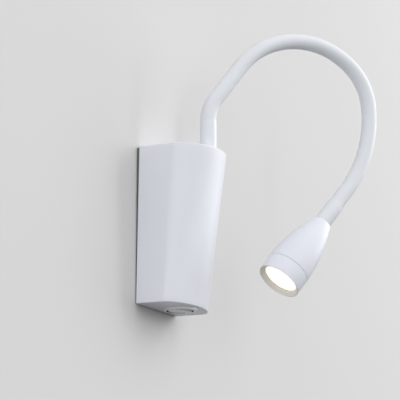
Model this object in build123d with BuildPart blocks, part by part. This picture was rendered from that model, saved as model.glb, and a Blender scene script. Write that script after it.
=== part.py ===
"""Bedside wall reading lamp: a tapered housing on the wall, a flexible neck and a small spot head.

The frame: the wall is the plane Y = 0 and the lamp stands out towards -Y, with X along the wall and
+Z up. The origin is at the wall, in the middle of the back of the housing.
"""

from build123d import *
from dataclasses import dataclass
from math import cos, degrees, radians, sin, sqrt, tan
import os

# ---------------------------------------------------------------- driving dimensions, in millimetres

# housing: D-shaped in plan, as wide at the top as at the bottom, deeper at the top
housing_width = 76.0
housing_height = 128.0
depth_top = 58.0
depth_bottom = 38.0
nose_top = 29.0  # depth of the rounded front, a half ellipse in plan
nose_bottom = 15.0
housing_wall = 2.0
edge_round = 0.8

# gasket and bracket at the wall
gap_top = 2.0  # between the housing and the wall, filled by the gasket
gap_bottom = 0.4
gasket_band = 2.6
gasket_inset = 0.8
plate_thickness = 1.5
plate_clearance = 1.5  # bracket to gasket, all round
plate_corner = 3.0
slot_spacing = 60.0
slot_length = 10.0
slot_width = 4.4
window_length = 26.0
window_width = 7.0
window_spacing = 48.0

# screws at the top, from the housing into the bracket's lug
lug_width = 46.0
lug_reach = 14.0
lug_drop = 1.7  # below the inside of the housing's top
screw_spacing = 32.0
screw_from_wall = 8.0
screw_size = 3.0
screw_head = 5.6
screw_length = 8.0
screw_sink = 0.2  # of the head below the surface
screw_clearance = 0.2  # radial, in the housing
boss_diameter = 7.0
thread_fit = 0.05  # radial, threads are left plain

# hooks at the bottom of the bracket and the ribs behind them
hook_spacing = 44.0
hook_width = 10.0
hook_drop = 4.0
hook_reach = 8.8
hook_play = 0.3
rib_height = 3.6
rib_thickness = 1.5

# cable entry
grommet_bore = 8.0
grommet_neck = 11.0
grommet_flange = 15.0
grommet_lip = 1.2

# terminal block
block_height = 12.0
block_depth = 15.0
block_top = -8.5
block_poles = 3
pole_pitch = 10.0
pole_gap = 1.0
block_row_spacing = 6.0
block_screw = 3.4
block_screw_length = 5.0
block_screw_sink = 1.0

# driver, taped to two ribs in the housing
driver_width = 50.0
driver_height = 40.0
driver_depth = 22.0
driver_top_gap = 12.0  # below the inside of the housing's top
driver_from_wall = 16.0
driver_round = 2.0
driver_groove = 0.8
tape_thickness = 1.0
carrier_spacing = 32.0
carrier_width = 4.0
carrier_height = 32.0

# inner leads
lead_diameter = 2.2
lead_from_wall = 8.0
lead_straight = 5.0  # of lead at each end before its first bend
lead_bend = 3.0
switched_lead_bend = 6.0
driver_lead_spacing = 28.0
neck_lead_drop = 9.0  # below the driver, before it turns up
neck_lead_bend = 4.0
neck_lead_low = 12.0  # height over the driver's lower end where the lead starts to lean out
neck_lead_high = 24.0  # height where it stands under the neck

# round rocker switch in the underside
switch_from_wall = 21.0
switch_bezel = 28.0
switch_bezel_height = 2.2
switch_bezel_round = 1.0
switch_barrel = 24.6
switch_hole_clearance = 0.2
switch_depth = 21.0
switch_well = 21.4
switch_well_depth = 9.5
rocker_clearance = 0.35
rocker_depth = 3.6  # of the pivot behind the face of the bezel
rocker_travel = 16.0  # degrees, all of it one way from rest
rocker_back = 2.5
pivot_diameter = 2.4
pivot_length = 23.6
pivot_fit = 0.05
tab_width = 4.8
tab_thickness = 0.8
tab_length = 7.5
tab_root = 3.0
tab_spacing = 15.0

# neck: where it stands, its bend plane and how it lies
neck_from_front = 12.0  # from the front of the housing's top
neck_plane_angle = 38.4  # of the bend plane, from the wall towards the room
collar_diameter = 13.6
collar_height = 26.0
collar_round = 0.6
thread_diameter = 10.0
thread_length = 14.0
nut_across = 14.0
nut_height = 3.0
washer_diameter = 15.0
washer_thickness = 0.8
foot_bend_length = 20.0  # of neck to the tight bend above the collar
foot_bend = 37.0  # degrees
foot_lean_length = 40.0  # of neck to the lower sideways joint
bend_length = 41.0  # of neck to each bend of the arch
arch_bends = (29.5, 28.0, 33.5, 48.0, 22.5, 20.5)  # degrees, from the wall to the head
head_lean_length = 18.0  # of neck to the sideways joint at the head
sleeve_diameter = 13.0
sleeve_clearance = 0.2
core_diameter = 8.8
core_bore = 5.0
core_gap = 2.5  # from a joint to each stiff length of core
core_tail = 18.0  # of core held in each collar
core_fit = 0.05
neck_lead_diameter = 3.6
neck_lead_clearance = 0.7
lead_gap = 1.1

# head
end_collar_diameter = 14.4
end_collar_length = 22.0
end_thread_length = 13.0
head_length = 69.0
head_diameter = 37.8
head_rear_diameter = 15.6
head_front_diameter = 37.2
bezel_length = 14.0
rear_round = 1.6
head_wall = 2.0
head_boss = 9.0
seam_width = 0.4
spigot_length = 5.0
spigot_fit = 0.05
ledge_width = 2.0
ledge_diameter = 27.0
sink_diameter = 30.0
sink_length = 13.0
sink_fit = 0.05
sink_fins = 14
fin_depth = 4.0
fin_slot = 2.4
fin_length = 9.0
thermal_pad_thickness = 0.4
board_diameter = 22.0
board_thickness = 1.6
board_screw_spacing = 17.0
board_screw_size = 2.0
board_screw_head = 3.6
board_screw_head_height = 1.3
board_screw_length = 5.0
chip_size = 6.0
chip_height = 1.2
head_lead_offset = 8.0
head_lead_hole = 4.4
lens_depth = 11.9
lens_rear_diameter = 11.2
lens_slope = 0.6  # along the head to each millimetre inwards, at the lens's face
lens_pocket_diameter = 9.2
lens_pocket_depth = 4.0
lens_face = 29.0
lens_flange_diameter = 33.0
lens_flange_height = 3.9
diffuser_diameter = 32.8
diffuser_thickness = 1.2
lens_gasket_band = 1.3
lens_gasket_thickness = 0.5
rim_width = 0.7
rim_round = 0.4
front_opening = 30.0
front_recess = 2.6
lip_thickness = 0.6
seat_gap = 0.1

# cross recess in the heads of the screws, as shares of the head
recess_length = 0.55
recess_width = 0.14

os.makedirs("parts", exist_ok=True)


def save(part, name):
    """Label a finished piece and write it out."""
    part.label = name
    export_step(part, f"parts/{name}.step")


# ---------------------------------------------------------------- housing

top_z = housing_height / 2
floor_z = -housing_height / 2
ceiling_z = top_z - housing_wall
floor_top_z = floor_z + housing_wall
lug_top_z = ceiling_z - lug_drop
neck_from_wall = depth_top - neck_from_front
driver_front = driver_from_wall + driver_depth
driver_mid_z = ceiling_z - driver_top_gap - driver_height / 2
driver_bottom = driver_mid_z - driver_height / 2


def between(bottom, top, z):
    """A size that changes evenly from the bottom of the housing to its top."""
    return bottom + (top - bottom) * (z - floor_z) / housing_height


def gap_at(z):
    """Gap between the housing and the wall at a height."""
    return between(gap_bottom, gap_top, z)


def d_section(z, inset, back):
    """Plan of the housing at a height, drawn in by the inset, with its straight side at the back."""
    half = housing_width / 2 - inset
    nose = between(nose_bottom, nose_top, z)
    shoulder = between(depth_bottom, depth_top, z) - nose
    with BuildSketch(Plane.XY.offset(z)) as section:
        with BuildLine():
            Polyline((-half, -shoulder), (-half, -back), (half, -back), (half, -shoulder))
            EllipticalCenterArc((0, -shoulder), half, nose - inset, start_angle=180, arc_size=180)
        make_face()
    return section.sketch


# the hollow, with the two ribs that carry the driver left standing in it
with BuildPart() as hollow:
    loft([d_section(floor_top_z, housing_wall, 0), d_section(ceiling_z, housing_wall, 0)])
    with BuildSketch(Plane.XZ.offset(driver_front + tape_thickness)):
        with Locations((0, driver_mid_z)):
            with GridLocations(carrier_spacing, 0, 2, 1):
                Rectangle(carrier_width, carrier_height)
    extrude(amount=depth_top, mode=Mode.SUBTRACT)

rib_front = hook_reach - plate_thickness - hook_play

with BuildPart() as housing:
    loft([d_section(floor_z, 0, gap_bottom), d_section(top_z, 0, gap_top)])
    rims = housing.faces().filter_by(Axis.Z).edges()
    fillet(rims.filter_by_position(Axis.Y, -depth_top, -gap_top - edge_round), edge_round)
    add(hollow.part, mode=Mode.SUBTRACT)
    # bosses that the two top screws pass through
    with BuildSketch(Plane.XY.offset(lug_top_z + seat_gap)):
        with Locations((0, -screw_from_wall)):
            with GridLocations(screw_spacing, 0, 2, 1):
                Circle(boss_diameter / 2)
    extrude(amount=lug_drop)
    with Locations((0, -screw_from_wall, top_z)):
        with GridLocations(screw_spacing, 0, 2, 1):
            CounterSinkHole(
                screw_size / 2 + screw_clearance,
                screw_head / 2 + screw_clearance,
                depth=2 * housing_wall,
                counter_sink_angle=90,
            )
    # ribs on the floor that hang behind the bracket's hooks
    with BuildSketch(Plane.XY.offset(floor_top_z)):
        with Locations((0, -rib_front + rib_thickness / 2)):
            with GridLocations(hook_spacing, 0, 2, 1):
                Rectangle(hook_width, rib_thickness)
    extrude(amount=rib_height)
    # holes for the neck and the switch
    with Locations((0, -neck_from_wall, top_z)):
        Hole(thread_diameter / 2 + screw_clearance, depth=2 * housing_wall)
    with Locations((0, -switch_from_wall, floor_z + 2 * housing_wall)):
        Hole(switch_barrel / 2 + switch_hole_clearance, depth=4 * housing_wall)
save(housing.part, "housing")

# ---------------------------------------------------------------- gasket and wall bracket

gasket_width = housing_width - 2 * gasket_inset
gasket_height = housing_height - 2 * gasket_inset
plate_width = gasket_width - 2 * (gasket_band + plate_clearance)
plate_height = gasket_height - 2 * (gasket_band + plate_clearance)
hook_top_z = floor_top_z + hook_drop + plate_thickness

# squeezed thin at the bottom, where the hooks draw the housing to the wall
with BuildPart() as back_gasket:
    with BuildSketch(Plane.YZ.offset(-gasket_width / 2)):
        with BuildLine():
            Polyline(
                (0, -gasket_height / 2),
                (-gap_at(-gasket_height / 2), -gasket_height / 2),
                (-gap_at(gasket_height / 2), gasket_height / 2),
                (0, gasket_height / 2),
                close=True,
            )
        make_face()
    extrude(amount=gasket_width)
    with BuildSketch(Plane.XZ):
        Rectangle(gasket_width - 2 * gasket_band, gasket_height - 2 * gasket_band)
    extrude(amount=2 * gap_top, mode=Mode.SUBTRACT)
save(back_gasket.part, "back_gasket")

with BuildPart() as wall_bracket:
    with BuildSketch(Plane.XZ):
        RectangleRounded(plate_width, plate_height, plate_corner)
        with Locations((0, plate_height / 2)):
            Rectangle(lug_width, 2 * (lug_top_z - plate_height / 2))
        Circle(grommet_neck / 2, mode=Mode.SUBTRACT)
        with GridLocations(0, slot_spacing, 1, 2):
            SlotOverall(slot_length, slot_width, rotation=90, mode=Mode.SUBTRACT)
        with GridLocations(window_spacing, 0, 2, 1):
            SlotOverall(window_length, window_width, rotation=90, mode=Mode.SUBTRACT)
    extrude(amount=plate_thickness)
    # top lug, turned towards the room, with the two tapped holes
    with BuildSketch(Plane.XY.offset(lug_top_z - plate_thickness)):
        with Locations((0, -lug_reach / 2)):
            Rectangle(lug_width, lug_reach)
    extrude(amount=plate_thickness)
    with Locations((0, -screw_from_wall, lug_top_z)):
        with GridLocations(screw_spacing, 0, 2, 1):
            Hole(screw_size / 2 + thread_fit, depth=2 * plate_thickness)
    # bottom hooks, turned out and then down in front of the housing's ribs
    for side in (-1, 1):
        with BuildSketch(Plane.YZ.offset(side * hook_spacing / 2 - hook_width / 2)):
            with BuildLine():
                Polyline(
                    (0, hook_top_z),
                    (-hook_reach, hook_top_z),
                    (-hook_reach, floor_top_z + plate_thickness / 2),
                    (-hook_reach + plate_thickness, floor_top_z + plate_thickness / 2),
                    (-hook_reach + plate_thickness, hook_top_z - plate_thickness),
                    (0, hook_top_z - plate_thickness),
                    close=True,
                )
            make_face()
        extrude(amount=hook_width)
save(wall_bracket.part, "wall_bracket")

with BuildPart() as cable_grommet:
    with BuildSketch(Plane.XZ):
        Circle(grommet_neck / 2)
    extrude(amount=plate_thickness)
    with BuildSketch(Plane.XZ.offset(plate_thickness)):
        Circle(grommet_flange / 2)
    extrude(amount=grommet_lip)
    fillet(cable_grommet.edges().sort_by(Axis.Y)[0], grommet_lip / 2)
    with BuildSketch(Plane.XZ):
        Circle(grommet_bore / 2)
    extrude(amount=depth_top, mode=Mode.SUBTRACT)
save(cable_grommet.part, "cable_grommet")

# ---------------------------------------------------------------- screws that hold the housing

head_z = top_z - screw_sink
with BuildPart() as housing_screws:
    with Locations((0, -screw_from_wall, head_z)):
        with GridLocations(screw_spacing, 0, 2, 1):
            Cylinder(
                screw_size / 2, screw_length, align=(Align.CENTER, Align.CENTER, Align.MAX)
            )
            Cone(
                screw_size / 2,
                screw_head / 2,
                (screw_head - screw_size) / 2,
                align=(Align.CENTER, Align.CENTER, Align.MAX),
            )
            Box(
                screw_head * recess_length,
                screw_head * recess_width,
                screw_size,
                mode=Mode.SUBTRACT,
            )
            Box(
                screw_head * recess_width,
                screw_head * recess_length,
                screw_size,
                mode=Mode.SUBTRACT,
            )
save(housing_screws.part, "housing_screws")

# ---------------------------------------------------------------- terminal block

block_mid_z = block_top - block_height / 2
block_front = plate_thickness + block_depth
block_width = block_poles * pole_pitch

with BuildPart() as terminal_block:
    with BuildSketch(Plane.XZ.offset(plate_thickness)):
        with Locations((0, block_mid_z)):
            Rectangle(block_width, block_height)
    extrude(amount=block_depth)
    fillet(terminal_block.edges().filter_by(Axis.Y), pole_gap)
    # gaps between the poles and a well over each clamp screw
    with BuildSketch(Plane.XZ.offset(block_front)):
        with Locations((0, block_mid_z)):
            with GridLocations(pole_pitch, 0, block_poles - 1, 1):
                Rectangle(pole_gap, block_height)
    extrude(amount=-block_depth / 2, mode=Mode.SUBTRACT)
    with Locations(Plane.XZ.offset(block_front)):
        with Locations((0, block_mid_z)):
            with GridLocations(pole_pitch, block_row_spacing, block_poles, 2):
                Hole(block_screw / 2 + thread_fit, depth=block_screw_sink + block_screw_length)
save(terminal_block.part, "terminal_block")

with BuildPart() as terminal_screws:
    with BuildSketch(Plane.XZ.offset(block_front - block_screw_sink)):
        with Locations((0, block_mid_z)):
            with GridLocations(pole_pitch, block_row_spacing, block_poles, 2):
                Circle(block_screw / 2)
    extrude(amount=-block_screw_length)
    with BuildSketch(Plane.XZ.offset(block_front - block_screw_sink)):
        with Locations((0, block_mid_z)):
            with GridLocations(pole_pitch, block_row_spacing, block_poles, 2):
                Rectangle(block_screw, block_screw * recess_width)
    extrude(amount=-block_screw_sink, mode=Mode.SUBTRACT)
save(terminal_screws.part, "terminal_screws")

# ---------------------------------------------------------------- driver

with BuildPart() as driver_case:
    with BuildSketch(Plane.XZ.offset(driver_from_wall)):
        with Locations((0, driver_mid_z)):
            RectangleRounded(driver_width, driver_height, driver_round)
    extrude(amount=driver_depth)
    # the joint of the case's two halves
    with BuildSketch(Plane.XZ.offset(driver_from_wall + driver_depth / 3)):
        with Locations((0, driver_mid_z)):
            RectangleRounded(driver_width, driver_height, driver_round)
            RectangleRounded(
                driver_width - driver_groove,
                driver_height - driver_groove,
                driver_round - driver_groove / 2,
                mode=Mode.SUBTRACT,
            )
    extrude(amount=driver_groove, mode=Mode.SUBTRACT)
save(driver_case.part, "driver_case")

with BuildPart() as driver_tape:
    with BuildSketch(Plane.XZ.offset(driver_front)):
        with Locations((0, driver_mid_z)):
            with GridLocations(carrier_spacing, 0, 2, 1):
                Rectangle(carrier_width, carrier_height)
    extrude(amount=tape_thickness)
save(driver_tape.part, "driver_tape")

# ---------------------------------------------------------------- switch

bezel_face_z = floor_z - switch_bezel_height
pivot_z = bezel_face_z + rocker_depth
rocker_radius = switch_well / 2 - rocker_clearance
barrel_top_z = floor_z + switch_depth

with BuildPart() as switch_body:
    with BuildSketch(Plane.XY.offset(bezel_face_z)):
        with Locations((0, -switch_from_wall)):
            Circle(switch_bezel / 2)
    extrude(amount=switch_bezel_height)
    fillet(switch_body.edges().sort_by(Axis.Z)[0], switch_bezel_round)
    with BuildSketch(Plane.XY.offset(floor_z)):
        with Locations((0, -switch_from_wall)):
            Circle(switch_barrel / 2)
    extrude(amount=switch_depth)
    fillet(switch_body.edges().sort_by(Axis.Z)[-1], switch_bezel_round)
    with BuildSketch(Plane.XY.offset(bezel_face_z)):
        with Locations((0, -switch_from_wall)):
            Circle(switch_well / 2)
    extrude(amount=switch_well_depth, mode=Mode.SUBTRACT)
    # bearing holes for the rocker and slots for the tabs
    with Locations((0, -switch_from_wall, pivot_z)):
        Cylinder(
            pivot_diameter / 2 + pivot_fit,
            pivot_length + 2 * seat_gap,
            rotation=(0, 90, 0),
            mode=Mode.SUBTRACT,
        )
    with Locations((0, -switch_from_wall, barrel_top_z - tab_root / 2)):
        with GridLocations(tab_spacing, 0, 2, 1):
            Box(
                tab_thickness + 2 * thread_fit,
                tab_width + 2 * thread_fit,
                tab_root,
                mode=Mode.SUBTRACT,
            )
save(switch_body.part, "switch_body")

# the rocker at rest: its rear half lies flat and its front half stands proud
with BuildPart() as switch_rocker:
    with Locations((0, -switch_from_wall, pivot_z)):
        Sphere(rocker_radius)
    far = 2 * rocker_radius
    with BuildSketch(Plane.YZ.offset(-far).shift_origin((-far, -switch_from_wall, pivot_z))):
        with BuildLine():
            Polyline(
                (far, rocker_back),
                (far, -rocker_depth),
                (0, -rocker_depth),
                (-far, -rocker_depth - far * tan(radians(rocker_travel))),
                (-far, rocker_back),
                close=True,
            )
        make_face()
    extrude(amount=2 * far, mode=Mode.INTERSECT)
    with Locations((0, -switch_from_wall, pivot_z)):
        Cylinder(pivot_diameter / 2, pivot_length, rotation=(0, 90, 0))
save(switch_rocker.part, "switch_rocker")

with BuildPart() as switch_tabs:
    with Locations((0, -switch_from_wall, barrel_top_z - tab_root)):
        with GridLocations(tab_spacing, 0, 2, 1):
            Box(
                tab_thickness,
                tab_width,
                tab_root + tab_length,
                align=(Align.CENTER, Align.CENTER, Align.MIN),
            )
save(switch_tabs.part, "switch_tabs")

# ---------------------------------------------------------------- leads in the housing


def lead(points, radius, diameter):
    """A lead through the points, with its corners rounded."""
    with BuildPart() as run:
        with BuildLine() as route:
            FilletPolyline(*points, radius=radius)
        with BuildSketch(Plane(origin=route.line @ 0, z_dir=route.line % 0)):
            Circle(diameter / 2)
        sweep()
    return run.part


tab_tip_z = barrel_top_z + tab_length
pole_x = (block_poles - 1) / 2 * pole_pitch
block_bottom = block_top - block_height
driver_middle = driver_from_wall + driver_depth / 2
lead_front = block_front + 2 * lead_diameter
tab_x = tab_spacing / 2
driver_lead_x = driver_lead_spacing / 2

live_lead = lead(
    [
        (-tab_x, -switch_from_wall, tab_tip_z),
        (-tab_x, -switch_from_wall, tab_tip_z + lead_straight),
        (-pole_x, -lead_from_wall, block_bottom - lead_straight),
        (-pole_x, -lead_from_wall, block_bottom),
    ],
    lead_bend,
    lead_diameter,
)
save(live_lead, "live_lead")

switched_lead = lead(
    [
        (tab_x, -switch_from_wall, tab_tip_z),
        (tab_x, -switch_from_wall, tab_tip_z + lead_straight),
        (tab_x, -lead_front, block_bottom),
        (tab_x, -lead_front, driver_bottom),
    ],
    switched_lead_bend,
    lead_diameter,
)
save(switched_lead, "switched_lead")

neutral_lead = lead(
    [
        (pole_x, -lead_from_wall, block_top),
        (pole_x, -lead_from_wall, block_top + lead_straight),
        (driver_lead_x, -driver_middle, driver_bottom - lead_straight),
        (driver_lead_x, -driver_middle, driver_bottom),
    ],
    lead_bend,
    lead_diameter,
)
save(neutral_lead, "neutral_lead")

# ---------------------------------------------------------------- neck: its line and its joints

neck_foot = Vector(0, -neck_from_wall, top_z)
outward = Vector(cos(radians(neck_plane_angle)), -sin(radians(neck_plane_angle)), 0)
neck_plane = Plane(origin=neck_foot, x_dir=outward, z_dir=outward.cross(Vector(0, 0, 1)))
bend_axis_dir = -neck_plane.z_dir


@dataclass
class Station:
    """A point on the neck's centre line in its bend plane, and the heading there in degrees."""

    reach: float
    rise: float
    heading: float

    def point(self):
        return neck_plane.from_local_coords(Vector(self.reach, self.rise, 0))

    def direction(self):
        along = radians(self.heading)
        return neck_plane.x_dir * cos(along) + neck_plane.y_dir * sin(along)

    def across(self):
        """The plane square to the neck here."""
        return Plane(origin=self.point(), x_dir=neck_plane.z_dir, z_dir=self.direction())

    def bend_centre(self, length, turn):
        """Where a bend that starts here has its centre, in the bend plane."""
        radius = length / radians(turn)
        along = radians(self.heading)
        return Vector(self.reach + radius * sin(along), self.rise - radius * cos(along))

    def further(self, length, turn):
        """The station at the end of a length of neck that turns evenly."""
        along = radians(self.heading)
        if turn == 0:
            reach = self.reach + length * cos(along)
            return Station(reach, self.rise + length * sin(along), self.heading)
        radius = length / radians(turn)
        centre = self.bend_centre(length, turn)
        after = along - radians(turn)
        reach = centre.X - radius * sin(after)
        return Station(reach, centre.Y + radius * cos(after), degrees(after))


def bent_tube(start, runs, diameter, bore):
    """A tube along the neck from a station, through runs of a length and a turn."""
    station = start
    with BuildPart() as tube:
        for length, turn in runs:
            with BuildSketch(station.across()):
                Circle(diameter / 2)
                if bore:
                    Circle(bore / 2, mode=Mode.SUBTRACT)
            if turn:
                centre = station.bend_centre(length, turn)
                pivot = neck_plane.from_local_coords(Vector(centre.X, centre.Y, 0))
                revolve(axis=Axis(pivot, bend_axis_dir), revolution_arc=turn)
            else:
                extrude(amount=length)
            station = station.further(length, turn)
    return tube.part


zones = [(foot_bend_length, foot_bend), (foot_lean_length, 0)]
zones.extend((bend_length, turn) for turn in arch_bends)
zones.append((head_lean_length, 0))

zone_starts = [Station(0, collar_height, 90)]
joints = []
for length, turn in zones:
    joints.append(zone_starts[-1].further(length / 2, turn / 2))
    zone_starts.append(zone_starts[-1].further(length, turn))
neck_end = zone_starts[-1]


def part_of(zone, length):
    """A share of one zone as a run: its length and the turn that goes with it."""
    zone_length, zone_turn = zone
    return (length, zone_turn * length / zone_length)


def stiff_runs(link, gap):
    """The runs of a link, which end the gap short of its joints."""
    runs = []
    for zone in zones[max(link - 1, 0) : link + 1]:
        runs.append(part_of(zone, zone[0] / 2 - gap))
    return runs


def link_start(link, gap):
    """Where the stiff length of a link starts, the gap after its joint."""
    return joints[link - 1].further(*part_of(zones[link - 1], gap))


# ---------------------------------------------------------------- neck: core, leads and sleeve

core_foot = Station(0, collar_height - core_tail, 90)
last = len(zones)

core_0 = bent_tube(
    core_foot, [(core_tail, 0)] + stiff_runs(0, core_gap), core_diameter, core_bore
)
save(core_0, "neck_core_0")
for link in range(1, last):
    core = bent_tube(
        link_start(link, core_gap), stiff_runs(link, core_gap), core_diameter, core_bore
    )
    save(core, f"neck_core_{link}")
core_9 = bent_tube(
    link_start(last, core_gap),
    stiff_runs(last, core_gap) + [(core_tail, 0)],
    core_diameter,
    core_bore,
)
save(core_9, f"neck_core_{last}")

# the two-core lead: from the driver up into the neck, along it, and into the head
lead_out = driver_front + neck_lead_diameter
neck_lead_0 = lead(
    [
        (0, -driver_middle, driver_bottom),
        (0, -driver_middle, driver_bottom - neck_lead_drop),
        (0, -lead_out, driver_bottom - neck_lead_drop),
        (0, -lead_out, driver_bottom + neck_lead_low),
        (0, -neck_from_wall, driver_bottom + neck_lead_high),
        (0, -neck_from_wall, top_z + collar_height),
    ],
    neck_lead_bend,
    neck_lead_diameter,
)
neck_lead_0 += bent_tube(zone_starts[0], stiff_runs(0, lead_gap), neck_lead_diameter, 0)
save(neck_lead_0, "neck_lead_0")
for link in range(1, last):
    neck_lead = bent_tube(
        link_start(link, lead_gap), stiff_runs(link, lead_gap), neck_lead_diameter, 0
    )
    save(neck_lead, f"neck_lead_{link}")

sleeve_bore = core_diameter + 2 * sleeve_clearance
for number, zone in enumerate(zones, start=1):
    sleeve = bent_tube(zone_starts[number - 1], [zone], sleeve_diameter, sleeve_bore)
    save(sleeve, f"neck_sleeve_{number}")

# ---------------------------------------------------------------- neck: collar, washer and nut

thread_bore = neck_lead_diameter + 2 * neck_lead_clearance

with BuildPart() as base_collar:
    with BuildSketch(Plane.XY.offset(top_z)):
        with Locations((0, -neck_from_wall)):
            Circle(collar_diameter / 2)
    extrude(amount=collar_height)
    fillet(base_collar.edges().sort_by(Axis.Z)[-1], collar_round)
    with BuildSketch(Plane.XY.offset(top_z - thread_length)):
        with Locations((0, -neck_from_wall)):
            Circle(thread_diameter / 2)
    extrude(amount=thread_length)
    chamfer(base_collar.edges().sort_by(Axis.Z)[0], collar_round)
    with Locations((0, -neck_from_wall, top_z + collar_height)):
        CounterBoreHole(
            thread_bore / 2,
            core_diameter / 2 + core_fit,
            core_tail,
            depth=collar_height + thread_length,
        )
save(base_collar.part, "base_collar")


def hex_nut(place):
    """A thin nut that stands on the place."""
    with BuildPart() as nut:
        with BuildSketch(place):
            RegularPolygon(nut_across / 2, 6, major_radius=False)
            Circle(thread_diameter / 2 + thread_fit, mode=Mode.SUBTRACT)
        extrude(amount=nut_height)
    return nut.part


under_ceiling = Plane(origin=(0, -neck_from_wall, ceiling_z), z_dir=(0, 0, -1))
with BuildPart() as lock_washer:
    with BuildSketch(under_ceiling):
        Circle(washer_diameter / 2)
        Circle(thread_diameter / 2 + screw_clearance, mode=Mode.SUBTRACT)
    extrude(amount=washer_thickness)
save(lock_washer.part, "lock_washer")
save(hex_nut(under_ceiling.offset(washer_thickness)), "neck_nut")

# ---------------------------------------------------------------- head: frame and shell

head_rear = neck_end.further(end_collar_length, 0)
head_place = head_rear.across()
head_axis = Axis(head_rear.point(), head_rear.direction())
# a section through the head: the radius across, the distance from its rear along
head_section = Plane(
    origin=head_rear.point(),
    x_dir=neck_plane.z_dir,
    z_dir=neck_plane.z_dir.cross(head_rear.direction()),
)

head_seam = head_length - bezel_length
widest = head_diameter / 2
rear_radius = head_rear_diameter / 2
ogive_radius = (head_seam**2 + (widest - rear_radius) ** 2) / (2 * (widest - rear_radius))


def ogive(distance):
    """Outer radius of the head at a distance from its rear."""
    return widest - ogive_radius + sqrt(ogive_radius**2 - (head_seam - distance) ** 2)


# what the head holds, worked back from its front
front_lip = head_length - front_recess - lip_thickness
gasket_rear = front_lip - lens_gasket_thickness
diffuser_rear = gasket_rear - diffuser_thickness
lens_front = diffuser_rear - seat_gap
lens_rear = lens_front - lens_depth
board_front = lens_rear - seat_gap
pad_front = board_front - board_thickness
sink_front = pad_front - thermal_pad_thickness
ledge_front = sink_front - sink_length
ledge_from_rear = ledge_front - ledge_width

corner_mid = 1 - sqrt(0.5)  # of the middle of a quarter round, as a share of its radius
bezel_bore = widest - head_wall
spigot_front = head_seam + spigot_length
bore_radius = sink_diameter / 2 + sink_fit
inner_mid = (head_boss + ledge_from_rear) / 2

with BuildPart() as head_shell:
    with BuildSketch(head_section):
        with BuildLine():
            shell_back = Line(
                (thread_diameter / 2 + thread_fit, 0), (ogive(0) - rear_round, 0)
            )
            shell_corner = ThreePointArc(
                shell_back @ 1,
                (ogive(0) - rear_round * corner_mid, rear_round * corner_mid),
                (ogive(rear_round), rear_round),
            )
            ThreePointArc(
                shell_corner @ 1, (ogive(head_seam / 2), head_seam / 2), (widest, head_seam)
            )
            Polyline(
                (widest, head_seam),
                (bezel_bore - spigot_fit, head_seam),
                (bezel_bore - spigot_fit, spigot_front),
                (bore_radius, spigot_front),
                (bore_radius, ledge_front),
                (ledge_diameter / 2, ledge_front),
                (ledge_diameter / 2, ledge_from_rear),
                (ogive(ledge_from_rear) - head_wall, ledge_from_rear),
            )
            ThreePointArc(
                (ogive(ledge_from_rear) - head_wall, ledge_from_rear),
                (ogive(inner_mid) - head_wall, inner_mid),
                (ogive(head_boss) - head_wall, head_boss),
            )
            Polyline(
                (ogive(head_boss) - head_wall, head_boss),
                (thread_diameter / 2 + thread_fit, head_boss),
                (thread_diameter / 2 + thread_fit, 0),
            )
        make_face()
    revolve(axis=head_axis)
save(head_shell.part, "head_shell")

with BuildPart() as head_collar:
    with BuildSketch(head_place.offset(-end_collar_length)):
        Circle(end_collar_diameter / 2)
    extrude(amount=end_collar_length)
    fillet(head_collar.edges().filter_by(GeomType.CIRCLE), collar_round)
    with BuildSketch(head_place):
        Circle(thread_diameter / 2)
    extrude(amount=end_thread_length)
    with BuildSketch(head_place.offset(-end_collar_length)):
        Circle(core_diameter / 2 + core_fit)
    extrude(amount=core_tail, mode=Mode.SUBTRACT)
    with BuildSketch(head_place.offset(-end_collar_length)):
        Circle(thread_bore / 2)
    extrude(amount=end_collar_length + end_thread_length, mode=Mode.SUBTRACT)
save(head_collar.part, "head_collar")
save(hex_nut(head_place.offset(head_boss)), "head_nut")

# ---------------------------------------------------------------- head: heat sink, board and chip

with BuildPart() as heat_sink:
    with BuildSketch(head_place.offset(ledge_front)):
        Circle(sink_diameter / 2)
    extrude(amount=sink_length)
    with BuildSketch(head_place.offset(ledge_front)):
        with PolarLocations(sink_diameter / 2 - fin_depth / 2, sink_fins):
            Rectangle(fin_depth, fin_slot)
    extrude(amount=fin_length, mode=Mode.SUBTRACT)
    with BuildSketch(head_place.offset(ledge_front)):
        with Locations((head_lead_offset, 0)):
            Circle(head_lead_hole / 2)
    extrude(amount=sink_length, mode=Mode.SUBTRACT)
    with BuildSketch(head_place.offset(sink_front)):
        with GridLocations(0, board_screw_spacing, 1, 2):
            Circle(board_screw_size / 2 + thread_fit)
    extrude(amount=-board_screw_length, mode=Mode.SUBTRACT)
save(heat_sink.part, "heat_sink")


def board_layer(start, thickness):
    """A disc with the holes that the pad and the board share."""
    with BuildPart() as layer:
        with BuildSketch(head_place.offset(start)):
            Circle(board_diameter / 2)
            with Locations((head_lead_offset, 0)):
                Circle(head_lead_hole / 2, mode=Mode.SUBTRACT)
            with GridLocations(0, board_screw_spacing, 1, 2):
                Circle(board_screw_size / 2 + screw_clearance, mode=Mode.SUBTRACT)
        extrude(amount=thickness)
    return layer.part


save(board_layer(sink_front, thermal_pad_thickness), "thermal_pad")
save(board_layer(pad_front, board_thickness), "led_board")

with BuildPart() as led_chip:
    with BuildSketch(head_place.offset(board_front)):
        Rectangle(chip_size, chip_size)
    extrude(amount=chip_height)
    chamfer(led_chip.faces().sort_by(head_axis)[-1].edges(), chip_height / 3)
save(led_chip.part, "led_chip")

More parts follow.
